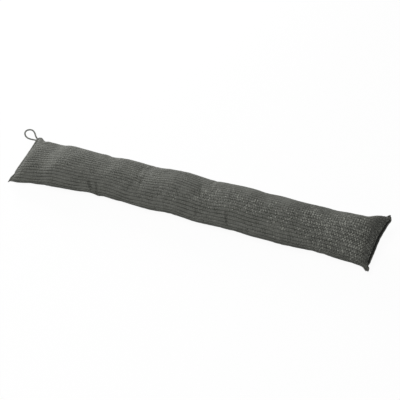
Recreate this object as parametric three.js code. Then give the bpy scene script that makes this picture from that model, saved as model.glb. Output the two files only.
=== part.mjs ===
// A draught excluder: a long, slim, filled cushion of woven cloth that lies along the foot of a door,
// with a cord loop sewn into one corner to hang it up by. Millimetres, +Z up. X runs along the cushion,
// with the loop at the -X end. +Y is the back, where the loop's corner is. The origin is on the surface
// that the cushion lies on, under the middle of the cushion's box.

import * as THREE from 'three';
import { mergeVertices } from 'three/addons/utils/BufferGeometryUtils.js';

// ---- the cloth tube ----
const FLAT_WIDTH = 184; // the sewn tube laid flat, from fold to fold
const GIRTH = 2 * FLAT_WIDTH; // the way round the tube
const SEAM_THICKNESS = 5; // an end seam: two layers of cloth with their allowances turned in
const SEAM_EDGE = SEAM_THICKNESS / 2; // the rounded stretch from the seam line to that thickness

// The cushion's sections, one row where its shape changes, from the end with the loop to the plain end.
//   along  distance from the middle of the cushion
//   width  from the front edge to the back edge
//   tuck   how much of the girth is taken up by creases; what is left of it gives the height
//   sway   how far the section has crept towards the back
//   rise   height of its lowest line above the surface, below it where weight flattens the underside
//   lean   how much higher the back edge lies than the front edge
//   flare  how far the back corner reaches past the rest of the section, towards the nearer end; the
//          front corner reaches out by a share of it
const SECTIONS = [
  { along: -474, width: 176, tuck: 18, sway: 0, rise: 15, lean: 16, flare: 3 },
  { along: -466, width: 174, tuck: 18, sway: 1, rise: 12, lean: 18, flare: 3 },
  { along: -457, width: 170, tuck: 18, sway: 1, rise: 7, lean: 16, flare: 3 },
  { along: -447, width: 166, tuck: 18, sway: -3, rise: 2, lean: 6, flare: 2 },
  { along: -428, width: 164, tuck: 18, sway: -1, rise: -2, lean: 3, flare: 1 },
  { along: -400, width: 162, tuck: 18, sway: 4, rise: -3, lean: 2, flare: 0 },
  { along: -365, width: 156, tuck: 9, sway: 0, rise: -5, lean: 0, flare: 0 },
  { along: -330, width: 152, tuck: 14, sway: 0, rise: -5, lean: 0, flare: 0 },
  { along: -290, width: 148, tuck: 26, sway: 4, rise: -5, lean: 0, flare: 0 },
  { along: -250, width: 139, tuck: 42, sway: 5, rise: -5, lean: 0, flare: 0 },
  { along: -215, width: 144, tuck: 28, sway: 5, rise: -5, lean: 0, flare: 0 },
  { along: -175, width: 146, tuck: 26, sway: 5, rise: -5, lean: 0, flare: 0 },
  { along: -140, width: 147, tuck: 26, sway: 3, rise: -5, lean: 0, flare: 0 },
  { along: -100, width: 147, tuck: 18, sway: -1, rise: -5, lean: 0, flare: 0 },
  { along: -55, width: 147, tuck: 12, sway: 2, rise: -5, lean: 0, flare: 0 },
  { along: -15, width: 147, tuck: 14, sway: 1, rise: -5, lean: 0, flare: 0 },
  { along: 25, width: 147, tuck: 17, sway: -3, rise: -5, lean: 0, flare: 0 },
  { along: 65, width: 147, tuck: 14, sway: -2, rise: -5, lean: 0, flare: 0 },
  { along: 100, width: 147, tuck: 8, sway: -3, rise: -5, lean: 0, flare: 0 },
  { along: 140, width: 147, tuck: 6, sway: -4, rise: -5, lean: 0, flare: 0 },
  { along: 175, width: 145, tuck: 12, sway: -7, rise: -5, lean: 0, flare: 0 },
  { along: 215, width: 147, tuck: 6, sway: -7, rise: -5, lean: 0, flare: 0 },
  { along: 250, width: 147, tuck: 6, sway: -9, rise: -5, lean: 0, flare: 0 },
  { along: 280, width: 147, tuck: 10, sway: -6, rise: -5, lean: 0, flare: 0 },
  { along: 315, width: 147, tuck: 12, sway: -3, rise: -5, lean: 0, flare: 0 },
  { along: 345, width: 143, tuck: 19, sway: -5, rise: -5, lean: 0, flare: 0 },
  { along: 380, width: 147, tuck: 4, sway: -7, rise: -5, lean: 0, flare: 0 },
  { along: 405, width: 148, tuck: 2, sway: -9, rise: -4, lean: 2, flare: 0 },
  { along: 428, width: 152, tuck: 2, sway: -8, rise: 0, lean: 8, flare: 2 },
  { along: 445, width: 157, tuck: 2, sway: -7, rise: 5, lean: 17, flare: 4 },
  { along: 458, width: 165, tuck: 12, sway: -3, rise: 15, lean: 26, flare: 6 },
  { along: 469, width: 176, tuck: 18, sway: 0, rise: 31, lean: 36, flare: 8 },
];
const COLUMNS = ['width', 'tuck', 'sway', 'rise', 'lean', 'flare'];

// Where the flare sets in and where it is full, counted from the middle of the section, with its edges at
// 1.
const BACK_CORNER = { start: 0.05, full: 0.9, share: 1 };
const FRONT_CORNER = { start: 0.8, full: 1, share: 0.6 };

const AROUND = 32; // sides of a section
const STEPS = 72; // sections from end to end
const END_CROWDING = 0.8; // 0 spreads the steps evenly, 1 crowds them most towards the two seams

// ---- the hanging loop ----
const CORD_DIAMETER = 4;
const CORD_SIDES = 8;
const CORD_STEP = 2.2 * CORD_DIAMETER;
// The cord's middle line, from the seam round the eye and back to the seam, chosen by hand.
const CORD_ROUTE = [
  { x: -477.8, y: 86, z: 22.8 },
  { x: -483, y: 91, z: 22.3 },
  { x: -488, y: 97, z: 21.8 },
  { x: -493, y: 104, z: 21.3 },
  { x: -499, y: 111, z: 20.8 },
  { x: -506, y: 117, z: 20.1 },
  { x: -514, y: 119, z: 19.4 },
  { x: -521, y: 115, z: 18.8 },
  { x: -523, y: 107, z: 18.6 },
  { x: -520, y: 98, z: 18.9 },
  { x: -514, y: 90, z: 19.5 },
  { x: -507, y: 84, z: 20.2 },
  { x: -499, y: 80.5, z: 20.9 },
  { x: -489, y: 79, z: 21.8 },
  { x: -477.8, y: 79, z: 22.6 },
];

// ---- finishes ----
const CLOTH = { color: 0x5f605b, roughness: 0.95, metalness: 0 }; // woven grey melange
const CORD = { color: 0x7b7d77, roughness: 0.85, metalness: 0 }; // lighter grey braid

// Ramanujan's formula for the way round an ellipse.
function ellipseGirth(halfWidth, halfHeight) {
  const a = halfWidth;
  const b = halfHeight;
  return Math.PI * (3 * (a + b) - Math.sqrt((3 * a + b) * (a + 3 * b)));
}

// The height that the girth leaves to a section of this width, found by halving the interval.
function heightFor(width, girth) {
  let low = 0;
  let high = FLAT_WIDTH;
  for (let i = 0; i < 40; i++) {
    const middle = (low + high) / 2;
    if (ellipseGirth(width / 2, middle / 2) < girth) low = middle;
    else high = middle;
  }
  return low;
}

// How far the two layers have parted at this distance from a seam: nothing in the seam itself, all the
// way once the turned-in allowances are passed.
function partingAt(along) {
  const fromSeam = Math.min(along - SECTIONS[0].along, SECTIONS[SECTIONS.length - 1].along - along);
  return Math.sqrt(1 - (1 - Math.min(fromSeam / SEAM_EDGE, 1)) ** 2);
}

// A smooth curve through every column of the section table.
const sectionCurve = new THREE.CubicInterpolant(
  SECTIONS.map((row) => row.along),
  SECTIONS.flatMap((row) => COLUMNS.map((column) => row[column])),
  COLUMNS.length,
);

function sectionAt(along) {
  const values = sectionCurve.evaluate(along);
  return Object.fromEntries(COLUMNS.map((column, i) => [column, values[i]]));
}

// Turns a place from 0 at one end to 1 at the other into a distance along the cushion.
function alongAt(share) {
  const first = SECTIONS[0].along;
  const last = SECTIONS[SECTIONS.length - 1].along;
  const even = 2 * share - 1;
  const crowded = Math.sin((even * Math.PI) / 2);
  const spread = even + (crowded - even) * END_CROWDING;
  return (first + last) / 2 + ((last - first) / 2) * spread;
}

// The part of the flare that a corner has at this place between the middle of the section and its edge.
function reach(corner, place) {
  return corner.share * THREE.MathUtils.smoothstep(place, corner.start, corner.full);
}

// The cushion is an open cylinder, one unit in radius and length, whose rings are drawn out to the
// sections. The first and last rings have no height, so their upper and lower halves merge into the two
// seams and close the skin.
function cushionGeometry() {
  const cylinder = new THREE.CylinderGeometry(1, 1, 1, AROUND, STEPS, true);
  const point = cylinder.attributes.position;
  for (let i = 0; i < point.count; i++) {
    const up = point.getX(i);
    const across = point.getZ(i);
    const along = alongAt(point.getY(i) + 0.5);
    const { width, tuck, sway, rise, lean, flare } = sectionAt(along);
    const height = Math.max(heightFor(width, GIRTH - tuck), SEAM_THICKNESS) * partingAt(along);
    const outward = Math.sign(along) * flare * (reach(BACK_CORNER, across) + reach(FRONT_CORNER, -across));
    const skin = rise + (height / 2) * (1 + up) + (lean / 2) * across;
    point.setXYZ(i, along + outward, sway + (width / 2) * across, Math.max(0, skin));
  }
  cylinder.deleteAttribute('normal');
  cylinder.deleteAttribute('uv');
  const cushion = mergeVertices(cylinder);
  cushion.computeVertexNormals();
  return cushion;
}

// A tube with flat ends along the cord's route.
function cordGeometry() {
  const route = new THREE.CatmullRomCurve3(CORD_ROUTE.map(({ x, y, z }) => new THREE.Vector3(x, y, z)));
  const section = new THREE.Shape();
  for (let i = 0; i < CORD_SIDES; i++) {
    const angle = (2 * Math.PI * i) / CORD_SIDES;
    const x = (CORD_DIAMETER / 2) * Math.cos(angle);
    const y = (CORD_DIAMETER / 2) * Math.sin(angle);
    if (i === 0) section.moveTo(x, y);
    else section.lineTo(x, y);
  }
  return new THREE.ExtrudeGeometry(section, {
    steps: Math.round(route.getLength() / CORD_STEP),
    extrudePath: route,
  });
}

function namedMesh(name, geometry, finish) {
  const mesh = new THREE.Mesh(geometry, new THREE.MeshStandardMaterial(finish));
  mesh.name = name;
  return mesh;
}

const draughtExcluder = new THREE.Group();
draughtExcluder.add(namedMesh('cushion', cushionGeometry(), CLOTH));
draughtExcluder.add(namedMesh('hang_loop', cordGeometry(), CORD));

export default draughtExcluder;
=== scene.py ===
# %% [markdown]
# # A draught excluder
#
# A draught excluder is a long, slim cushion that lies along the foot of a door. This one is a tube of
# ribbed grey cloth, filled, sewn shut across both ends, with a loop of cord caught in one corner to hang it
# up by. The lesson builds it in Blender around a finished construction model, the frame, which already
# holds both pieces at their real size and place. Everything is in metres, with Z up.

# %% Tools for the whole lesson
import math

import bmesh
import bpy
import numpy as np
from mathutils import Matrix, Vector


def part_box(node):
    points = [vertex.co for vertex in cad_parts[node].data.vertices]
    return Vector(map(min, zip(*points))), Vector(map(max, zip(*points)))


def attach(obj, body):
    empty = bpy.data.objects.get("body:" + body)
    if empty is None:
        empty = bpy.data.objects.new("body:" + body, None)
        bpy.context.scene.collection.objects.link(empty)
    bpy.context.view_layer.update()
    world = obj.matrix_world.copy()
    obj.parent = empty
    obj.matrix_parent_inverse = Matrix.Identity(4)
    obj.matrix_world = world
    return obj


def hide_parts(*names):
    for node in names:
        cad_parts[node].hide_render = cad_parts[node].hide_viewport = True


MM = 0.001


def deselect_all():
    """The frame's nodes arrive selected, and an operator would act on them too."""
    for thing in bpy.context.selected_objects:
        thing.select_set(False)


def only(piece):
    """Makes one piece the only selected and the active one."""
    deselect_all()
    piece.select_set(True)
    bpy.context.view_layer.objects.active = piece


def add_object(name, data):
    """Wraps a mesh or curve in an object at the origin and adds it to the scene."""
    piece = bpy.data.objects.new(name, data)
    bpy.context.collection.objects.link(piece)
    return piece


def linear(hex_colour):
    """An sRGB hex colour as the linear RGBA that a shader socket takes."""
    channels = [int(hex_colour[i : i + 2], 16) / 255 for i in (1, 3, 5)]
    return [c / 12.92 if c <= 0.04045 else ((c + 0.055) / 1.055) ** 2.4 for c in channels] + [1.0]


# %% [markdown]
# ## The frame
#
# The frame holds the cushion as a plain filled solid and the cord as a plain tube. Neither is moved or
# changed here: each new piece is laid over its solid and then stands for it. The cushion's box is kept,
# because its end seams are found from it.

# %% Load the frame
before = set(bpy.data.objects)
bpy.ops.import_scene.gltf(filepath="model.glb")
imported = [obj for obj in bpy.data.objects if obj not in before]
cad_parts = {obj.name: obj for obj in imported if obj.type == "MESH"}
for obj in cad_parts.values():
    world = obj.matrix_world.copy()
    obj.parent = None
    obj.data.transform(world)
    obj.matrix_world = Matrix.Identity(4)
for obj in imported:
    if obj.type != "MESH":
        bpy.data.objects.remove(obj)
deselect_all()
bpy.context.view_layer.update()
cushion_low, cushion_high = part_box("cushion")
print("cushion, mm:", [round(size / MM, 1) for size in cushion_high - cushion_low])

# %% [markdown]
# ## The camera
#
# A long lens from some way off keeps the two ends of such a long piece nearly alike in size. The camera
# looks down at a little under 40 degrees, from the front and somewhat to the right. It is aimed by two
# angles, a distance and the small offset of the view's middle from the frame's origin, so each can be
# judged by itself.

# %% Camera
VIEW_FROM_FRONT = 21.7  # degrees to the right of the cushion's front
VIEW_DOWN = 38.7  # degrees below the horizontal
VIEW_DISTANCE = 3.733
VIEW_OFFSET = (0.0131, 0.0178)  # the view's middle, to the right of and above the frame's origin
LENS = 135  # mm
SENSOR_WIDTH = 36  # mm
FARTHEST_SEEN = 20  # beyond the floor's farthest corner

camera_turn = Matrix.Rotation(math.radians(VIEW_FROM_FRONT), 3, "Z")
camera_turn = camera_turn @ Matrix.Rotation(math.radians(90 - VIEW_DOWN), 3, "X")
lens_data = bpy.data.cameras.new("camera")
lens_data.lens = LENS
lens_data.sensor_width = SENSOR_WIDTH
lens_data.clip_end = FARTHEST_SEEN
camera = add_object("camera", lens_data)
camera.rotation_euler = camera_turn.to_euler()
camera.location = camera_turn @ Vector((*VIEW_OFFSET, VIEW_DISTANCE))
bpy.context.scene.camera = camera
print("camera at, m:", [round(c, 3) for c in camera.location])

# %% [markdown]
# ## The hanging loop
#
# The real loop is one length of twisted cotton cord, with both ends caught in the end seam at the back
# corner. A bevelled curve gives a plain round tube, which would look like wire. Instead the curve gets a
# profile of three lobes, one for each strand, and the profile is turned as it goes along, which lays the
# strands round each other. The route is the frame's own, point by point.

# %% Route of the cord
CORD_DIAMETER = 4 * MM
CORD_ROUTE_MM = [
    (-477.8, 86, 22.8),
    (-483, 91, 22.3),
    (-488, 97, 21.8),
    (-493, 104, 21.3),
    (-499, 111, 20.8),
    (-506, 117, 20.1),
    (-514, 119, 19.4),
    (-521, 115, 18.8),
    (-523, 107, 18.6),
    (-520, 98, 18.9),
    (-514, 90, 19.5),
    (-507, 84, 20.2),
    (-499, 80.5, 20.9),
    (-489, 79, 21.8),
    (-477.8, 79, 22.6),
]
ROUTE_STEPS = 12  # short straight steps from one of these points to the next


def smooth_route(points, steps):
    """A Catmull-Rom curve through the points, with this many steps between two of them."""
    points = np.array(points, float)
    before = 2 * points[0] - points[1]
    after = 2 * points[-1] - points[-2]
    lengthened = np.vstack([before, points, after])
    route = []
    for i in range(1, len(lengthened) - 2):
        a, b, c, d = lengthened[i - 1 : i + 3]
        for t in np.arange(steps) / steps:
            place = 2 * b + (c - a) * t
            place = place + (2 * a - 5 * b + 4 * c - d) * t**2
            place = place + (3 * b - a - 3 * c + d) * t**3
            route.append(0.5 * place)
    route.append(lengthened[-2])
    return np.array(route)


cord_route = smooth_route(np.array(CORD_ROUTE_MM) * MM, ROUTE_STEPS)
cord_steps = np.linalg.norm(np.diff(cord_route, axis=0), axis=1)

# %% Twisted cord
STRANDS = 3
LAY_LENGTH = 10 * MM  # the cord's length in which a strand goes round once
STRAND_SHARE = 0.52  # a strand's thickness, as a share of the cord's
LOOSE_SHARE = 1.1  # loose cotton stands a little proud of the cord's gauge
PROFILE_POINTS = 24

strand_radius = CORD_DIAMETER / 2 * LOOSE_SHARE * STRAND_SHARE
centre_radius = CORD_DIAMETER / 2 * LOOSE_SHARE - strand_radius  # from the cord's middle to a strand's
profile_data = bpy.data.curves.new("cord_profile", "CURVE")
profile_data.dimensions = "2D"
profile = profile_data.splines.new("POLY")
profile.points.add(PROFILE_POINTS - 1)
for i, point in enumerate(profile.points):
    angle = 2 * math.pi * i / PROFILE_POINTS
    off_strand = (angle * STRANDS + math.pi) % (2 * math.pi) - math.pi
    off_strand /= STRANDS
    beside_middle = centre_radius * math.sin(off_strand)
    radius = centre_radius * math.cos(off_strand)
    radius += math.sqrt(max(strand_radius**2 - beside_middle**2, 0))
    point.co = (radius * math.cos(angle), radius * math.sin(angle), 0, 1)
profile.use_cyclic_u = True
profile_object = add_object("cord_profile", profile_data)

cord_data = bpy.data.curves.new("hanging_cord", "CURVE")
cord_data.dimensions = "3D"
cord_data.bevel_mode = "OBJECT"
cord_data.bevel_object = profile_object
cord_data.use_fill_caps = True
spline = cord_data.splines.new("POLY")
spline.points.add(len(cord_route) - 1)
walked = np.concatenate([[0], np.cumsum(cord_steps)])
for point, place, distance in zip(spline.points, cord_route, walked):
    point.co = (*place, 1)
    point.tilt = 2 * math.pi * distance / LAY_LENGTH
hanging_cord = add_object("hanging_cord", cord_data)
only(hanging_cord)
bpy.ops.object.convert(target="MESH")
bpy.ops.object.shade_smooth()
bpy.data.objects.remove(profile_object)
print("cord faces:", len(hanging_cord.data.polygons))

# %% [markdown]
# ## The cushion's skin
#
# The cloth is one sewn tube whose rows run from end to end. For the rows to follow every bulge, the mesh
# has to be laid out as the cloth is: rings of points round the tube, equally far apart on the cloth. So the
# frame's solid is not remeshed, which would lose those rings, but measured. It is cut at one station after
# another, and each cut is divided evenly from fold to fold, over the top and under the belly. Towards the
# ends the corners reach out beyond the middle of the seam, so the stations bend with the seam line.

# %% Measure the frame's cushion
SAME_PLACE = 0.01 * MM  # points closer than this are one

skin = bmesh.new()
skin.from_mesh(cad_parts["cushion"].data)
bmesh.ops.remove_doubles(skin, verts=skin.verts, dist=SAME_PLACE)
points = np.array([v.co for v in skin.verts])
edges = np.array([[v.index for v in e.verts] for e in skin.edges])
face_edges = np.array([[e.index for e in f.edges] for f in skin.faces])
skin.free()
print("measured points:", len(points), "triangles:", len(face_edges))

# %% The end seams
SEAM_ZONE = 12 * MM  # a seam's points lie this close to the frame's end
FOLD_SHARE = 0.97  # beyond this share of the half width, a point is on one of the two long folds


def seam_line(end):
    """The end seam, end -1 or +1, as a table of x, y and z from the front corner to the back corner.
    Elsewhere each point of the top has one of the belly under it, and in the seam the two are one."""
    near_end = points[points[:, 0] * end > cushion_high.x - SEAM_ZONE]
    gaps = np.abs(near_end[:, None, :2] - near_end[None, :, :2]).max(2)
    alone = near_end[(gaps < SAME_PLACE).sum(1) == 1]
    folds = abs(alone[:, 1]) > FOLD_SHARE * cushion_high.y
    line = [alone[~folds]]
    for side in (-1, 1):
        corner = alone[folds & (alone[:, 1] * side > 0)]
        line.append(corner[[(corner[:, 0] * end).argmax()]])
    line = np.vstack(line)
    return line[line[:, 1].argsort()]


seams = {end: seam_line(end) for end in (-1, 1)}
seam_middle = {end: abs(np.interp(0, seams[end][:, 1], seams[end][:, 0])) for end in seams}
for end in seams:
    reach = abs(seams[end][[0, -1], 0]) - seam_middle[end]
    print("seam points:", len(seams[end]), "corners reach, mm:", (reach / MM).round(1))

# %% Stations along the tube
SEAM_BEND = 70 * MM  # how far from the seam the stations still bend with it


def smoothstep(value, start, full):
    """Rises from 0 at the start to 1 where it is full, and is level on both sides."""
    share = np.clip((value - start) / (full - start), 0, 1)
    return share * share * (3 - 2 * share)


def station_of(place):
    """How far along the tube a place is, counted so that each end seam is at one station."""
    x, y = place[:, 0], place[:, 1]
    station = x.copy()
    for end, line in seams.items():
        reach = np.interp(y, line[:, 1], line[:, 0]) - end * seam_middle[end]
        station -= reach * smoothstep(x * end, seam_middle[end] - SEAM_BEND, seam_middle[end])
    return station


point_stations = station_of(points)
print("stations, mm:", [round(float(s) / MM, 1) for s in (point_stations.min(), point_stations.max())])

# %% [markdown]
# A cut at one station meets the edges of the measured triangles one after another. Following it from
# triangle to triangle gives a closed line, which is split at the two folds, and each half is divided into
# equal steps. The rings lie closer together at the seams, where the skin turns sharply.

# %% Rings round the tube
ROWS = 40  # woven rows round the tube
AROUND = 2 * ROWS  # points in a ring, before the cloth is divided finer
NEAR_SEAM = [0, 1.1 * MM, 2.9 * MM, 5 * MM, 7.5 * MM, 10.4 * MM]  # rings close to each end seam
EVEN_FROM = 14 * MM  # this far from the seam the evenly spaced rings start
RING_SPACING = 3.6 * MM


def even_points(line, count):
    """Divides a line of points into this many equal steps."""
    walked = np.concatenate([[0], np.cumsum(np.linalg.norm(np.diff(line, axis=0), axis=1))])
    places = np.linspace(0, walked[-1], count + 1)
    return np.column_stack([np.interp(places, walked, line[:, i]) for i in range(3)])


def edges_in_turn(cut):
    """The cut edges in the order in which the cut meets them, from triangle to triangle."""
    crossed = face_edges[cut[face_edges].sum(1) == 2]
    links = {}
    for one, other in crossed[cut[crossed]].reshape(-1, 2):
        links.setdefault(one, []).append(other)
        links.setdefault(other, []).append(one)
    turn = [crossed[cut[crossed]][0]]
    following = links[turn[0]][0]
    while following != turn[0]:
        turn.append(following)
        following = next(n for n in links[following] if n != turn[-2])
    return np.array(turn)


def ring_at(station):
    """One ring: from the back fold over the top to the front fold, and under the belly back again."""
    first, second = point_stations[edges[:, 0]], point_stations[edges[:, 1]]
    turn = edges_in_turn((first - station) * (second - station) < 0)
    share = ((station - first[turn]) / (second[turn] - first[turn]))[:, None]
    place = points[edges[turn, 0]] * (1 - share) + points[edges[turn, 1]] * share
    place = np.roll(place, -place[:, 1].argmax(), axis=0)
    place = np.vstack([place, place[:1]])
    front = place[:, 1].argmin()
    if place[: front + 1, 2].mean() < place[front:, 2].mean():
        place = place[::-1]
        front = place[:, 1].argmin()
    top = even_points(place[: front + 1], AROUND // 2)
    belly = even_points(place[front:], AROUND // 2)
    return np.vstack([top[:-1], belly[:-1]])


def seam_ring(end, neighbour):
    """The seam itself: its upper and lower points lie on each other."""
    line = seams[end]
    y = np.clip(neighbour[:, 1], line[0, 1], line[-1, 1])
    y[0] = line[-1, 1]
    y[AROUND // 2] = line[0, 1]
    half = np.arange(1, AROUND // 2)
    y[half] = y[AROUND - half] = (y[half] + y[AROUND - half]) / 2
    return np.column_stack([np.interp(y, line[:, 1], line[:, i]) for i in range(3)])


start, stop = -seam_middle[-1], seam_middle[1]
even_count = round((stop - start - 2 * EVEN_FROM) / RING_SPACING) + 1
inner = np.linspace(start + EVEN_FROM, stop - EVEN_FROM, even_count)
stations = np.concatenate([start + np.array(NEAR_SEAM), inner, stop - np.array(NEAR_SEAM[::-1])])
rings = [ring_at(station) for station in stations[1:-1]]
rings = np.array([seam_ring(-1, rings[0])] + rings + [seam_ring(1, rings[-1])])
print("rings:", rings.shape)

# %% [markdown]
# The rings are joined into a mesh with a UV map in metres of cloth: U along the tube and V round it. The
# map opens at the back fold, where the tube's own long seam runs.

# %% Cushion mesh
GIRTH = 368 * MM  # the cloth's width, once round the tube
CLOTH_PITCH = GIRTH / ROWS  # one woven row


def tube_mesh(name, rings):
    """Joins rings to a closed tube whose first and last ring fold flat into a seam."""
    count, around = len(rings), rings.shape[1]
    number = np.arange(count * around).reshape(count, around)
    for ring in (0, -1):
        half = np.arange(1, around // 2)
        number[ring, around - half] = number[ring, half]
    along = np.concatenate([[0], np.cumsum(np.linalg.norm(np.diff(rings, axis=0), axis=2).mean(1))])
    faces, corners = [], []
    for i in range(count - 1):
        for j in range(around):
            k = (j + 1) % around
            face = [number[i, j], number[i, k], number[i + 1, k], number[i + 1, j]]
            place = [(along[i], j), (along[i], j + 1), (along[i + 1], j + 1), (along[i + 1], j)]
            faces.append(face)
            corners.extend((u, v * CLOTH_PITCH * ROWS / around) for u, v in place)
    used = np.unique(number)
    renumber = np.zeros(count * around, int)
    renumber[used] = np.arange(len(used))
    mesh = bpy.data.meshes.new(name)
    mesh.from_pydata(rings.reshape(-1, 3)[used].tolist(), [], renumber[np.array(faces)].tolist())
    layer = mesh.uv_layers.new(name="cloth")
    layer.data.foreach_set("uv", np.array(corners).ravel())
    return mesh, renumber[number]


cushion_mesh, grid = tube_mesh("filled_cushion", rings)
cushion = add_object("filled_cushion", cushion_mesh)
cushion.data.polygons.foreach_set("use_smooth", [True] * len(cushion.data.polygons))
volume = bmesh.new()
volume.from_mesh(cushion.data)
print("faces:", len(cushion.data.polygons), "litres:", round(volume.calc_volume() * 1000, 2))
volume.free()

# %% [markdown]
# ## Filling the tube
#
# A sewn tube that is stuffed doesn't only swell: it is cut a little larger than the filling needs, so the
# spare cloth gathers in soft wrinkles, most of all along the end seams, where the round body has to turn
# into a flat edge. Blender's cloth simulation finds those wrinkles. The skin is blown up gently from
# inside, its threads are let out by a few per cent, and the seams and the patch that it lies on are held.
# Each point may then move only a few millimetres, so the cushion keeps its place and size.

# %% Cloth simulation
PRESSURE = 3
LET_OUT = 0.02  # spare cloth, as a share of its length
FRAMES = 20
ON_FLOOR = 0.2 * MM  # points lower than this rest on the floor


def coordinates(mesh):
    """The places of a mesh's points, a row for each."""
    place = np.empty(len(mesh.vertices) * 3)
    mesh.vertices.foreach_get("co", place)
    return place.reshape(-1, 3)


def move_points(mesh, place):
    """Puts a mesh's points at these places."""
    mesh.vertices.foreach_set("co", place.ravel())
    mesh.update()


unfilled = coordinates(cushion.data)
end_rings = np.union1d(grid[0], grid[-1])
held = np.union1d(end_rings, np.flatnonzero(unfilled[:, 2] < ON_FLOOR))
held_group = cushion.vertex_groups.new(name="held")
held_group.add(held.tolist(), 1, "REPLACE")
print("held points:", len(held), "of", len(unfilled))

only(cushion)
bpy.ops.object.modifier_add(type="CLOTH")
cloth = cushion.modifiers[-1]
# a light cloth that hardly stretches but bends easily
cloth.settings.quality = 6
cloth.settings.mass = 0.2
cloth.settings.tension_stiffness = 20
cloth.settings.compression_stiffness = 20
cloth.settings.shear_stiffness = 8
cloth.settings.bending_stiffness = 0.4
cloth.settings.use_pressure = True
cloth.settings.uniform_pressure_force = PRESSURE
cloth.settings.vertex_group_mass = held_group.name
cloth.settings.shrink_min = -LET_OUT
cloth.settings.shrink_max = -LET_OUT
cloth.settings.effector_weights.gravity = 0
cloth.collision_settings.use_collision = False
cloth.point_cache.frame_end = FRAMES
for number in range(1, FRAMES + 1):
    bpy.context.scene.frame_set(number)
bpy.ops.object.modifier_apply(modifier=cloth.name)
bpy.context.scene.frame_set(1)


# %% [markdown]
# The simulation finds good wrinkles but also blows the cushion up as a whole. A wrinkle is what changes
# over a few centimetres, and the swelling is what doesn't. So the movement is averaged over the cloth round
# each point, and what differs from that average is the wrinkle. Midway the real cloth is pulled smooth, so
# most of the wrinkling stays near the two seams. A little of the swelling is kept there too: it rounds the
# shoulders that the body makes before it falls to the seam.

# %% Keep the wrinkles, not the swelling
WRINKLE_REACH = 18 * MM  # the length of the average that parts the wrinkles from the swelling
DEEPEST_WRINKLE = 4 * MM
WRINKLES_MIDWAY = 0.35  # share of the wrinkles that is kept away from the ends
MIDWAY = (50 * MM, 120 * MM)  # from a seam: where their share starts to fall, and where it is down to that
WRINKLES_AT_SEAM = 0.3  # share of the wrinkles that is kept at the seam itself
AT_SEAM = (2 * MM, 16 * MM)  # from a seam: where that share starts to rise, and where all is kept
SWELLING_KEPT = 0.35  # share of the swelling that is kept near the ends
SWELLING_RISE = (4 * MM, 22 * MM)  # from a seam: where it starts, and where it is full
SWELLING_FALL = (35 * MM, 90 * MM)  # from a seam: where it starts to fade, and where it ends
BELL_CUT = 2.5  # an average's weights are cut off this many of its lengths away


def spread(length, spacing):
    """The weights of a bell-shaped average, this long on either side."""
    reach = math.ceil(BELL_CUT * length / spacing)
    steps = np.arange(-reach, reach + 1)
    weight = np.exp(-0.5 * (steps * spacing / length) ** 2)
    return weight / weight.sum()


def averaged(field, length):
    """A field on the tube's rings, averaged along the tube, which ends, and round it, which closes."""
    weight = spread(length, GIRTH / AROUND)
    reach = len(weight) // 2
    wrapped = np.concatenate([field[:, -reach:], field, field[:, :reach]], axis=1)
    field = sum(w * wrapped[:, i : i + field.shape[1]] for i, w in enumerate(weight))
    weight = spread(length, RING_SPACING)
    reach = len(weight) // 2
    held_ends = np.concatenate([field[:1].repeat(reach, 0), field, field[-1:].repeat(reach, 0)])
    return sum(w * held_ends[i : i + len(field)] for i, w in enumerate(weight))


move = coordinates(cushion.data)[grid] - unfilled[grid]
swelling = averaged(move, WRINKLE_REACH)
print("moved by the simulation, mm: mean", (np.linalg.norm(move, axis=2).mean() / MM).round(1))
wrinkle = move - swelling
depth = np.linalg.norm(wrinkle, axis=2)[..., None]
wrinkle *= np.minimum(1, DEEPEST_WRINKLE / np.maximum(depth, SAME_PLACE))
from_seam = np.minimum(stations - start, stop - stations)[:, None, None]
wrinkle *= 1 - (1 - WRINKLES_MIDWAY) * smoothstep(from_seam, *MIDWAY)
wrinkle *= 1 - (1 - WRINKLES_AT_SEAM) * (1 - smoothstep(from_seam, *AT_SEAM))
swelling *= SWELLING_KEPT * smoothstep(from_seam, *SWELLING_RISE)
swelling *= 1 - smoothstep(from_seam, *SWELLING_FALL)
wrinkle[[0, -1]] = swelling[[0, -1]] = 0
print("wrinkles as found, mm: mean", (depth.mean() / MM).round(2), "deepest", (depth.max() / MM).round(1))
print("swelling kept, mm: most", (np.linalg.norm(swelling, axis=2).max() / MM).round(1))
filled = unfilled.copy()
filled[grid] += wrinkle + swelling
filled[:, 2] = np.maximum(filled[:, 2], 0)
move_points(cushion.data, filled)

# %% [markdown]
# ## Finer cloth
#
# The simulation ran on coarse cloth, and smaller shapes need finer cloth. One subdivision gives each
# woven row four strips of faces. Its UV map still tells where each point lies on the flat cloth: how far
# along the tube, and how far round it from the back fold over the top.

# %% Divide the cloth finer
only(cushion)
bpy.ops.object.modifier_add(type="SUBSURF")
division = cushion.modifiers[-1]
division.levels = 1
division.render_levels = 1
division.uv_smooth = "NONE"
bpy.ops.object.modifier_apply(modifier=division.name)


def cloth_places(mesh):
    """Each point's place on the flat cloth: how far along it and how far round, in metres."""
    corner_point = np.empty(len(mesh.loops), int)
    mesh.loops.foreach_get("vertex_index", corner_point)
    uv = np.empty(len(mesh.loops) * 2)
    mesh.uv_layers["cloth"].data.foreach_get("uv", uv)
    place = np.empty((len(mesh.vertices), 2))
    place[corner_point] = uv.reshape(-1, 2)
    return place


def point_normals(mesh):
    """The direction straight out of the cloth at each point."""
    normal = np.empty(len(mesh.vertices) * 3)
    mesh.vertex_normals.foreach_get("vector", normal)
    return normal.reshape(-1, 3)


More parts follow.
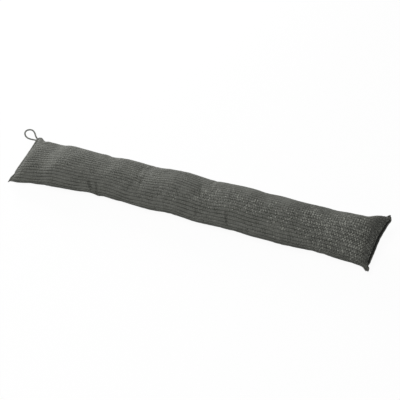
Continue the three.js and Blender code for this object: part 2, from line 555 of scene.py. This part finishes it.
cloth_place = cloth_places(cushion.data)
cloth_length = cloth_place[:, 0].max()
along_tube = cloth_place[:, 0] - cloth_length / 2
round_tube = cloth_place[:, 1] % GIRTH
from_end = cloth_length / 2 - abs(along_tube)
from_back_fold = np.minimum(round_tube, GIRTH - round_tube)
print("triangles:", 2 * len(cushion.data.polygons), "row, mm:", round(CLOTH_PITCH / MM, 2))

# %% [markdown]
# ## Ears, bulges and creases
#
# Some of the cushion's shapes have their own causes and are listed, each as one line of a table. The
# corners of the end seams stand out as small ears, because the seam's many layers are stiff there. The
# tube is a little fuller in some places and slacker in others. And where a slim tube gives, its cloth folds
# in short creases across the rows, the deepest of them low on the front: each is a narrow valley with a
# soft shoulder on either side.

# %% Ears of the end seams
# An ear, or a dent in the seam line: the cloth near this point, with this reach, moves by this much. In mm.
EARS = [
    {"at": (475, 83, 49), "reach": 9, "move": (3, 0.5, 2)},
    {"at": (477, 72, 47), "reach": 8, "move": (3, 0, 0)},
    {"at": (467, -84, 15), "reach": 6, "move": (0, -4, -10)},
    {"at": (472, -82, 14), "reach": 7, "move": (3.4, 0.5, 4)},
    {"at": (-475, 86, 24), "reach": 9, "move": (0, 0, 1.4)},
    {"at": (-464, 86, 26), "reach": 5.5, "move": (0, 0, 3.4)},
    {"at": (-475, -71, 8), "reach": 8, "move": (-1.6, 0, 0)},
    {"at": (-477, -86, 8), "reach": 8, "move": (0, -1, -1.6)},
    {"at": (-474, -57, 10), "reach": 8, "move": (2, 0, 0)},
    {"at": (-477, -15, 20), "reach": 60, "move": (-1.9, 0, 0)},
]


def bell(distance, reach):
    """1 at no distance, about a third at the reach, and next to nothing at twice the reach."""
    return np.exp(-((distance / reach) ** 2))


place = coordinates(cushion.data)
for ear in EARS:
    distance = np.linalg.norm(place - np.array(ear["at"]) * MM, axis=1)
    place += bell(distance, ear["reach"] * MM)[:, None] * np.array(ear["move"]) * MM
print("ears and dents of the seams:", len(EARS))

# %% The right end
# Its seam is drawn up onto the end, and the belly bulges out under it. The bulge's table is in mm.
RIGHT_SEAM_IN = 3.8 * MM
RIGHT_SEAM_REACH = 35 * MM  # how far into the cushion the cloth follows the seam
RIGHT_BELLY = {"from_end": [0, 1, 4, 11, 32], "outwards": [0, 1, 8.3, 7.3, 0]}
RIGHT_CORNERS = (8 * MM, 28 * MM)  # from a fold: where both start, and where they are full

from_corner = np.minimum(from_back_fold, GIRTH / 2 - from_back_fold)
on_end = (along_tube > 0) * smoothstep(from_corner, *RIGHT_CORNERS)
seam_in = RIGHT_SEAM_IN * (1 - smoothstep(from_end, 0, RIGHT_SEAM_REACH))
belly_out = np.interp(from_end / MM, RIGHT_BELLY["from_end"], RIGHT_BELLY["outwards"]) * MM
place[:, 0] += on_end * (belly_out * (round_tube > GIRTH / 2) - seam_in)
print("the right belly bulges out, mm:", (belly_out.max() / MM).round(1))

# %% Seam lips and bulges
# The end seams: a flat lip where the layers are sewn together, and a gutter behind it. In mm.
SEAM_RELIEF = {"from_end": [0, 1, 4, 7, 11], "outwards": [0, 0.8, 0.8, -1.3, 0]}
# A bulge, or a dent where it goes inwards: how far along the tube from its middle, how far round it from
# the back fold, its reach both ways, and how far outwards. In mm.
BULGES = [
    {"along": -445, "round": 12, "reach": (10, 22), "outwards": 4.4},
    {"along": -428, "round": 12, "reach": (16, 22), "outwards": 4.4},
    {"along": -365, "round": 22, "reach": (16, 20), "outwards": 0.6},
    {"along": -270, "round": 20, "reach": (14, 20), "outwards": 2},
    {"along": -98, "round": 30, "reach": (14, 20), "outwards": 2.2},
    {"along": 45, "round": 25, "reach": (38, 20), "outwards": 1.2},
    {"along": 200, "round": 28, "reach": (34, 20), "outwards": 1.4},
    {"along": 335, "round": 25, "reach": (14, 20), "outwards": 1},
    {"along": 426, "round": 28, "reach": (26, 22), "outwards": -1.6},
    {"along": 466, "round": 8, "reach": (7, 14), "outwards": -2.5},
    {"along": -455, "round": 194, "reach": (14, 18), "outwards": 3},
    {"along": -426, "round": 198, "reach": (12, 16), "outwards": -1.4},
    {"along": -378, "round": 205, "reach": (24, 14), "outwards": 1.6},
    {"along": -272, "round": 205, "reach": (14, 14), "outwards": -1.2},
    {"along": -243, "round": 205, "reach": (9, 14), "outwards": 2.4},
    {"along": -195, "round": 207, "reach": (14, 14), "outwards": 1.2},
    {"along": 328, "round": 209, "reach": (10, 14), "outwards": -1.2},
    {"along": 458, "round": 192, "reach": (14, 14), "outwards": 1.5},
]

lift = np.interp(from_end / MM, SEAM_RELIEF["from_end"], SEAM_RELIEF["outwards"]) * MM
for bulge in BULGES:
    off_round = (round_tube - bulge["round"] * MM + GIRTH / 2) % GIRTH - GIRTH / 2
    share = bell(along_tube - bulge["along"] * MM, bulge["reach"][0] * MM)
    share *= bell(off_round, bulge["reach"][1] * MM)
    lift += bulge["outwards"] * MM * share
print("bulges, mm: out", (lift.max() / MM).round(1), "in", (lift.min() / MM).round(1))

# %% Creases
# A crease: the two ends and the middle of its line on the cloth, its half width and its depth. In mm.
CREASES = [
    {"line": [(-281, 148), (-264, 168), (-253, 202)], "half_width": 2.7, "depth": 6.2},
    {"line": [(-257, 152), (-244, 172), (-243, 210)], "half_width": 2.7, "depth": 6.6},
    {"line": [(-145, 100), (-140, 113), (-136, 127)], "half_width": 3.2, "depth": 1.8},
    {"line": [(22, 150), (28, 169), (31, 190)], "half_width": 2.8, "depth": 4.6},
    {"line": [(96, 138), (106, 162), (115, 196)], "half_width": 2.8, "depth": 6.4},
    {"line": [(10, 78), (19, 106), (28, 132)], "half_width": 3.6, "depth": 1.2},
    {"line": [(77, 42), (97, 94), (110, 128)], "half_width": 3.6, "depth": 1.2},
    {"line": [(461, 4), (471, 20), (483, 36)], "half_width": 3.4, "depth": 2.6},
    {"line": [(484, 150), (474, 166), (462, 184)], "half_width": 3, "depth": 1.6},
]
SHOULDER = 0.7  # how full a crease's shoulders are; at 0 it would be a bare groove
CREASE_FADE = 0.35  # share of its line over which a crease runs out at either end
CREASE_STEPS = 25  # points on its line

for crease in CREASES:
    first, middle, last = np.array(crease["line"]) * MM
    steer = 2 * middle - (first + last) / 2
    t = np.linspace(0, 1, CREASE_STEPS)[:, None]
    line = (1 - t) ** 2 * first + 2 * t * (1 - t) * steer + t**2 * last
    from_line = np.hypot(along_tube[:, None] - line[:, 0], round_tube[:, None] - line[:, 1])
    taper = smoothstep(np.minimum(t, 1 - t)[:, 0], 0, CREASE_FADE)
    across = (from_line.min(1) / (crease["half_width"] * MM)) ** 2
    valley = (1 - SHOULDER * across) * np.exp(-across / 2) * taper[from_line.argmin(1)]
    lift -= crease["depth"] * MM * valley

place += point_normals(cushion.data) * lift[:, None]
place[:, 2] = np.maximum(place[:, 2], 0)
move_points(cushion.data, place)
print("shaped by hand, mm: out", (lift.max() / MM).round(1), "in", (lift.min() / MM).round(1))

# %% [markdown]
# ## The woven ribs
#
# The cloth has thick rows that run from end to end, about 9 mm apart, with a narrow groove between two
# rows. At that size the ribs catch the light as real relief, so they are moved into the mesh and not left
# to a bump map: one line of points in the groove, one on the crest and one on each flank. No handmade cover
# is quite even, so the ribs are a little higher and lower from place to place, and the rows wander. The
# tube's own long seam, at the back fold, is a groove a little deeper than the others.

# %% Uneven places
WAVE_TURNS = (-4, -3, -2, -1, 1, 2, 3, 4)  # how often each wave goes up and down once round the tube
WAVE_LENGTHS = (60, 160)  # mm along the tube, drawn by chance between these


def unevenness(seed):
    """Soft waves, seldom beyond -1 and 1, all over the tube, which meet at its back fold."""
    chance = np.random.default_rng(seed)
    total = np.zeros(len(round_tube))
    for turns in WAVE_TURNS:
        wave_length = chance.uniform(*WAVE_LENGTHS) * MM
        off_start = chance.uniform(0, 1)
        total += np.cos(2 * math.pi * (turns * round_tube / GIRTH + along_tube / wave_length + off_start))
    return total / 4


height_waves = unevenness(1)
drift_waves = unevenness(2)
print("uneven by", height_waves.min().round(2), "to", height_waves.max().round(2))

# %% Raise the ribs
RIB_HEIGHT = 1.0 * MM
FLANK = 0.8  # height of a rib's flanks, as a share of the crest's, which makes the ribs full and round
RIB_SUNK = 0.65  # share of a rib's height by which its grooves lie under the plain skin
RIB_FADE = 24 * MM  # the end seams press the ribs flat this far in
RIB_UNEVEN = 0.3  # how much higher and lower the ribs are from place to place
ROW_DRIFT = 1.5 * MM  # about how far the rows wander to either side
DRIFT_RISE = (6 * MM, 60 * MM)  # from a seam: where they start to wander, and where they do so fully
LONG_SEAM_DEPTH = 1.6 * MM
LONG_SEAM_HALF_WIDTH = 5 * MM

row_place = (cloth_place[:, 1] / CLOTH_PITCH) % 1
from_groove = 0.5 - abs(row_place - 0.5)
rib = np.interp(from_groove, [0, 0.25, 0.5], [0, FLANK, 1]) - RIB_SUNK
lift = RIB_HEIGHT * rib * smoothstep(from_end, 0, RIB_FADE) * (1 + RIB_UNEVEN * height_waves)
from_long_seam = np.minimum(cloth_place[:, 1], GIRTH - cloth_place[:, 1])
lift -= LONG_SEAM_DEPTH * (1 - smoothstep(from_long_seam, 0, LONG_SEAM_HALF_WIDTH))
outwards = point_normals(cushion.data)
sideways = np.cross(outwards, (1, 0, 0))
drift = ROW_DRIFT * drift_waves * smoothstep(from_end, *DRIFT_RISE)
place = coordinates(cushion.data) + outwards * lift[:, None] + sideways * drift[:, None]
place[:, 2] = np.maximum(place[:, 2], 0)
move_points(cushion.data, place)
print("rows wander, mm:", (abs(drift).max() / MM).round(1))
print("ribs, mm:", (lift.max() / MM).round(2), "to", (lift.min() / MM).round(2))

# %% [markdown]
# ## The cloth
#
# The cloth is a melange: yarn spun from dark and light grey fibres, slightly greenish. Each row is two
# yarns side by side, woven in short floats. Each float shows one stretch of yarn, so it has its own shade.
# Floats that lie side by side also take turns at being a little darker and a little lighter, and each yarn
# drifts slowly between the two. The floats differ least at the left end and most towards the right end,
# between the top and the front. The fold under an end seam gets a painted shade, nearly black.
# The pattern is drawn in the cloth's own map, in rows and floats counted from real sizes, so it bends with
# every wrinkle. Cloth of this kind is dull.

# %% A helper for node trees
def add_node(tree, kind, inputs, **settings):
    """Adds a node, sets its properties, and gives each input a value or the socket that feeds it."""
    node = tree.nodes.new(kind)
    for name, value in settings.items():
        setattr(node, name, value)
    for name, value in inputs.items():
        if isinstance(value, bpy.types.NodeSocket):
            tree.links.new(value, node.inputs[name])
        else:
            node.inputs[name].default_value = value
    return node


def calculate(tree, operation, *values):
    """A Math node's result for these values or sockets."""
    return add_node(tree, "ShaderNodeMath", dict(enumerate(values)), operation=operation).outputs[0]


def new_material(name, roughness):
    """A material with its node tree and its Principled shader."""
    material = bpy.data.materials.new(name)
    material.use_nodes = True
    shader = material.node_tree.nodes["Principled BSDF"]
    shader.inputs["Roughness"].default_value = roughness
    shader.inputs["IOR"].default_value = 1.5
    return material, material.node_tree, shader


# %% Rows, yarns and floats
FLOAT_LENGTH = 3.2 * MM  # one float along the row
WOBBLES = 60.0  # to a metre of cloth, so each is about 17 mm long
WOBBLE = 1.2  # how many floats such a wobble moves the weave along at most

# loosely spun yarn scatters the light, so the cloth is matt with next to no gloss
melange_cloth, tree, shader = new_material("woven melange cloth", 0.95)
shader.inputs["Specular IOR Level"].default_value = 0.25
cloth_map = add_node(tree, "ShaderNodeUVMap", {}, uv_map="cloth").outputs[0]
on_cloth = add_node(tree, "ShaderNodeSeparateXYZ", {0: cloth_map})
from_left, from_back = on_cloth.outputs["X"], on_cloth.outputs["Y"]
row = calculate(tree, "DIVIDE", from_back, CLOTH_PITCH)
across_row = calculate(tree, "FRACT", row)
yarn_line = calculate(tree, "MULTIPLY", row, 2.0)
yarn_number = calculate(tree, "FLOOR", yarn_line)
across_yarn = calculate(tree, "FRACT", yarn_line)
wobble = add_node(tree, "ShaderNodeTexNoise", {"Vector": cloth_map, "Scale": WOBBLES, "Detail": 1.0})
stagger = add_node(tree, "ShaderNodeTexWhiteNoise", {"W": yarn_number}, noise_dimensions="1D")
along = calculate(tree, "DIVIDE", from_left, FLOAT_LENGTH)
along = calculate(tree, "ADD", along, stagger.outputs["Value"])
along = calculate(tree, "MULTIPLY_ADD", wobble.outputs[0], WOBBLE, along)
float_number = calculate(tree, "FLOOR", along)
along_float = calculate(tree, "FRACT", along)
print("a float, mm:", round(FLOAT_LENGTH / MM, 1), "by", round(CLOTH_PITCH / MM / 2, 1))

# %% Where each float lies among the shades
RUN_LENGTH = 22 * MM  # how far a yarn keeps about the same shade
YARN_APART = 7.3  # reads two neighbouring yarns this far apart in the noise, so that they aren't alike
RUN_DRIFT = (-0.3, 0.3)  # how far a yarn drifts along the shades, which lie between 0 and 1
CONTRAST = (0.5, 1.2)  # how much the floats differ by chance at the left and at the right end
CHECKER = (0.3, 1.05)  # how much each float differs from the ones beside it, likewise
GROWTH = 3.0  # the power that keeps both small until well past the middle
PATCHES = 16.0  # to a metre of cloth, so each is about 60 mm across
PATCH_SHARE = (0.3, 1.7)  # both are weaker in some patches and stronger in others, between these
LIVELY_LINE = 125 * MM  # both are strongest this far round from the back fold, between top and front
LIVELY_REACH = 100 * MM  # they fade over this width to either side
CALM_SHARE = 0.3  # down to this share


def between(tree, value, low, high):
    """Spreads a value from 0 to 1 over the range from low to high."""
    return calculate(tree, "MULTIPLY_ADD", value, high - low, low)


def growing(tree, left, right):
    """A strength that grows from the cloth's left end to its right end, slowly at first."""
    share = calculate(tree, "POWER", calculate(tree, "DIVIDE", from_left, cloth_length), GROWTH)
    return between(tree, share, left, right)


def off_middle(tree, value, strength):
    """How far a value between 0 and 1 lies off its middle, times the strength."""
    return calculate(tree, "MULTIPLY", calculate(tree, "SUBTRACT", value, 0.5), strength)


cell = add_node(tree, "ShaderNodeCombineXYZ", {"X": float_number, "Y": yarn_number}).outputs[0]
float_chance = add_node(tree, "ShaderNodeTexWhiteNoise", {"Vector": cell}, noise_dimensions="2D")
run_x = calculate(tree, "DIVIDE", from_left, RUN_LENGTH)
run_y = calculate(tree, "MULTIPLY", yarn_number, YARN_APART)
run_place = add_node(tree, "ShaderNodeCombineXYZ", {"X": run_x, "Y": run_y}).outputs[0]
run = add_node(tree, "ShaderNodeTexNoise", {"Vector": run_place, "Scale": 1.0, "Detail": 1.0})
run_shade = between(tree, run.outputs[0], *RUN_DRIFT)
half_count = calculate(tree, "MULTIPLY", calculate(tree, "ADD", float_number, yarn_number), 0.5)
checker = calculate(tree, "MULTIPLY", calculate(tree, "FRACT", half_count), 2.0)
patch = add_node(tree, "ShaderNodeTexNoise", {"Vector": cloth_map, "Scale": PATCHES, "Detail": 1.0})
off_shade = off_middle(tree, float_chance.outputs["Value"], growing(tree, *CONTRAST))
off_shade = calculate(tree, "ADD", off_middle(tree, checker, growing(tree, *CHECKER)), off_shade)
off_shade = calculate(tree, "MULTIPLY", off_shade, between(tree, patch.outputs[0], *PATCH_SHARE))
calmness = calculate(tree, "ABSOLUTE", calculate(tree, "SUBTRACT", from_back, LIVELY_LINE))
calmness = calculate(tree, "MINIMUM", calculate(tree, "DIVIDE", calmness, LIVELY_REACH), 1.0)
off_shade = calculate(tree, "MULTIPLY", off_shade, between(tree, calmness, 1.0, CALM_SHARE))
shade_place = calculate(tree, "ADD", calculate(tree, "ADD", off_shade, 0.5), run_shade)
print("floats in a run of about the same shade:", round(RUN_LENGTH / FLOAT_LENGTH, 1))

# %% Shades of the yarns
YARN_SHADES = [
    (0.0, "#484944"),
    (0.3, "#62635d"),
    (0.7, "#6f706b"),
    (0.95, "#7b7c76"),
    (1.0, "#94958e"),
]

yarn = add_node(tree, "ShaderNodeValToRGB", {"Fac": shade_place})
ramp = yarn.color_ramp
while len(ramp.elements) < len(YARN_SHADES):
    ramp.elements.new(0.5)
for element, (position, shade) in zip(ramp.elements, YARN_SHADES):
    element.position = position
    element.color = linear(shade)
print("shades of yarn:", len(ramp.elements))

# %% [markdown]
# The weave is too fine to be real relief. So its height is worked out from the same rows, yarns and floats
# and used twice: as a bump that catches the light, and to darken the cloth where the yarns dive between
# one another, because little light gets down there. Loose fibres roughen the bump a little.

# %% Height of the weave
ROW_FULLNESS = 4.0  # the higher, the flatter on top and the steeper at the edges
YARN_FULLNESS = 3.0
FLOAT_RELIEF = (0.4, 1.0)  # height at a float's edge and in its middle, as shares of the row's
FIBRES = 900.0  # to a metre of cloth: real ones are far finer, but wouldn't show
FIBRE_HEIGHT = 0.25
FLOAT_SHADE = (0.55, 1.0)  # how high its edge and its middle count where the painted shade darkens the gaps
HOLLOWS = 30.0  # to a metre of cloth, so each is about 33 mm across
HOLLOW_SHARE = (-0.1, 1.9)  # the painted shade in the gaps is paler in some places and darker in others, between these


def rounded(tree, place, fullness):
    """From 0 at both edges of a row, yarn or float to 1 in its middle."""
    from_middle = calculate(tree, "ABSOLUTE", calculate(tree, "MULTIPLY_ADD", place, 2.0, -1.0))
    return calculate(tree, "SUBTRACT", 1.0, calculate(tree, "POWER", from_middle, fullness))


row_height = rounded(tree, across_row, ROW_FULLNESS)
yarn_height = rounded(tree, across_yarn, YARN_FULLNESS)
float_height = calculate(tree, "MULTIPLY", yarn_height, rounded(tree, along_float, YARN_FULLNESS))
relief = calculate(tree, "MULTIPLY", row_height, between(tree, float_height, *FLOAT_RELIEF))
fibres = add_node(tree, "ShaderNodeTexNoise", {"Vector": cloth_map, "Scale": FIBRES, "Detail": 3.0})
relief = calculate(tree, "MULTIPLY_ADD", fibres.outputs[0], FIBRE_HEIGHT, relief)
proud = calculate(tree, "MULTIPLY", row_height, between(tree, float_height, *FLOAT_SHADE))
sunk = calculate(tree, "SUBTRACT", 1.0, proud)
hollows = add_node(tree, "ShaderNodeTexNoise", {"Vector": cloth_map, "Scale": HOLLOWS, "Detail": 2.0})
sunk = calculate(tree, "MULTIPLY", sunk, between(tree, hollows.outputs[0], *HOLLOW_SHARE))
proud = calculate(tree, "SUBTRACT", 1.0, calculate(tree, "MINIMUM", sunk, 1.0))
print("fibres, mm:", round(1 / FIBRES / MM, 1), "hollows, mm:", round(1 / HOLLOWS / MM, 1))

# %% Colour and bump
# painted shade: the colour of the gaps between rows and yarns, where little light gets down
PAINTED_GROOVE_SHADE = "#2f302c"
SEAM_SHADOW_WIDTH = 2.1 * MM  # width of the painted shade in the fold under an end seam, on the belly side, darker than any groove
# painted shadow: the near-black colour of the fold under an end seam
PAINTED_SEAM_SHADOW = "#191a18"
WEAVE_DEPTH = 0.6 * MM


def mixed(tree, share, plain, other):
    """A colour between a plain one and another, by this share of the other."""
    inputs = {"Factor": share, "A": plain, "B": other}
    return add_node(tree, "ShaderNodeMix", inputs, data_type="RGBA").outputs["Result"]


from_right = calculate(tree, "SUBTRACT", cloth_length, from_left)
near_seam = calculate(tree, "LESS_THAN", calculate(tree, "MINIMUM", from_right, from_left), SEAM_SHADOW_WIDTH)
on_belly = calculate(tree, "GREATER_THAN", from_back, GIRTH / 2)
in_seam_shadow = calculate(tree, "MULTIPLY", near_seam, on_belly)
# painted shade darkens the cloth where the yarns dive between one another
colour = mixed(tree, proud, linear(PAINTED_GROOVE_SHADE), yarn.outputs[0])
# painted shade: on the belly side, the last millimetres at each end seam take the fold's shadow colour
colour = mixed(tree, in_seam_shadow, colour, linear(PAINTED_SEAM_SHADOW))
tree.links.new(colour, shader.inputs["Base Color"])
bump = add_node(tree, "ShaderNodeBump", {"Height": relief, "Distance": WEAVE_DEPTH, "Strength": 1.0})
tree.links.new(bump.outputs[0], shader.inputs["Normal"])
cushion.data.materials.clear()
cushion.data.materials.append(melange_cloth)
print("cloth:", melange_cloth.name, len(tree.nodes), "nodes")

# %% [markdown]
# ## The cord's cotton
#
# The loop is soft cotton, spun and twisted in a grey close to the cloth's. Its three strands are real
# shapes, so its finish stays plain: one dull colour without gloss, which leaves the light to draw them.

# %% Twisted cotton cord
CORD_COLOUR = "#6f716b"

cotton_cord, tree, shader = new_material("twisted cotton cord", 0.9)
shader.inputs["Base Color"].default_value = linear(CORD_COLOUR)
hanging_cord.data.materials.clear()
hanging_cord.data.materials.append(cotton_cord)
print("cord:", cotton_cord.name)

# %% [markdown]
# ## Floor and light
#
# A cushion for a catalogue lies on white paper under a large soft lamp, almost overhead, and a low lamp
# behind its left end that brightens the far side. The paper lights the near side from below. To the camera
# it is nearly as bright as paper can be, so that only a breath of the shadow shows, while the light that it
# sends back to the cloth stays that of plain white paper.

# %% Paper floor
FLOOR_SIZE = 16
PAPER_WHITE = "#f7f7f7"
SHOWN_WHITE = 0.95  # how far the paper that the camera sees is lifted towards pure white
WHITE = (1, 1, 1, 1)

scene = bpy.context.scene
scene.view_settings.view_transform = "Standard"
deselect_all()
bpy.ops.mesh.primitive_plane_add(size=FLOOR_SIZE)
floor = bpy.context.object
floor.name = "floor"
# matt paper has hardly any gloss, so it shows no lamp and no reflection of the cushion
paper, tree, shader = new_material("white paper", 0.9)
shader.inputs["Base Color"].default_value = linear(PAPER_WHITE)
shader.inputs["Specular IOR Level"].default_value = 0.1


def seen_directly(tree, share):
    """This share for rays that show the surface: the camera's, and those that a gloss or glass sends on."""
    path = add_node(tree, "ShaderNodeLightPath", {})
    seen = calculate(tree, "MAXIMUM", path.outputs["Is Camera Ray"], path.outputs["Is Glossy Ray"])
    seen = calculate(tree, "MAXIMUM", seen, path.outputs["Is Transmission Ray"])
    return calculate(tree, "MULTIPLY", seen, share)


def mixed_shader(tree, share, plain, other):
    """A shader between a plain one and another, by this share of the other."""
    inputs = {0: share, 1: plain.outputs[0], 2: other.outputs[0]}
    return add_node(tree, "ShaderNodeMixShader", inputs).outputs[0]


glow = add_node(tree, "ShaderNodeEmission", {"Color": WHITE, "Strength": 1.0})
shown = mixed_shader(tree, seen_directly(tree, SHOWN_WHITE), shader, glow)
tree.links.new(shown, tree.nodes["Material Output"].inputs["Surface"])
floor.data.materials.append(paper)
print("floor, m:", [round(side, 1) for side in floor.dimensions[:2]])

# %% Lamps and room
ROOM_LIGHT = 0.19

world = bpy.data.worlds.new("studio")
world.use_nodes = True
tree = world.node_tree
dim = tree.nodes["Background"]
dim.inputs["Color"].default_value = WHITE
dim.inputs["Strength"].default_value = ROOM_LIGHT
bright = add_node(tree, "ShaderNodeBackground", {"Color": WHITE, "Strength": 1.0})
shown = mixed_shader(tree, seen_directly(tree, 1.0), dim, bright)
tree.links.new(shown, tree.nodes["World Output"].inputs["Surface"])
scene.world = world


def soft_lamp(name, place, power, size):
    """A square lamp that shines from its place on the middle of the cushion."""
    light = bpy.data.lights.new(name, "AREA")
    light.energy = power
    light.size = size
    lamp = add_object(name, light)
    lamp.location = place
    lamp.rotation_euler = Vector(place).to_track_quat("Z", "Y").to_euler()
    return lamp


overhead_lamp = soft_lamp("overhead_lamp", place=(-0.22, -0.9, 1.9), power=27.7, size=1.2)
back_lamp = soft_lamp("back_lamp", place=(-1.4, 1.45, 0.5), power=46, size=0.8)
for lamp in (overhead_lamp, back_lamp):
    print(lamp.name, "stands off, m:", round(lamp.location.length, 2))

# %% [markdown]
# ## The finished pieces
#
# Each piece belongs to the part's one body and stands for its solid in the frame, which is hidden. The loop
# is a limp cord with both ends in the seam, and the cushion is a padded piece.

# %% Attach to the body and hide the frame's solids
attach(hanging_cord, "root")
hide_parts("hang_loop")
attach(cushion, "root")
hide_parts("cushion")
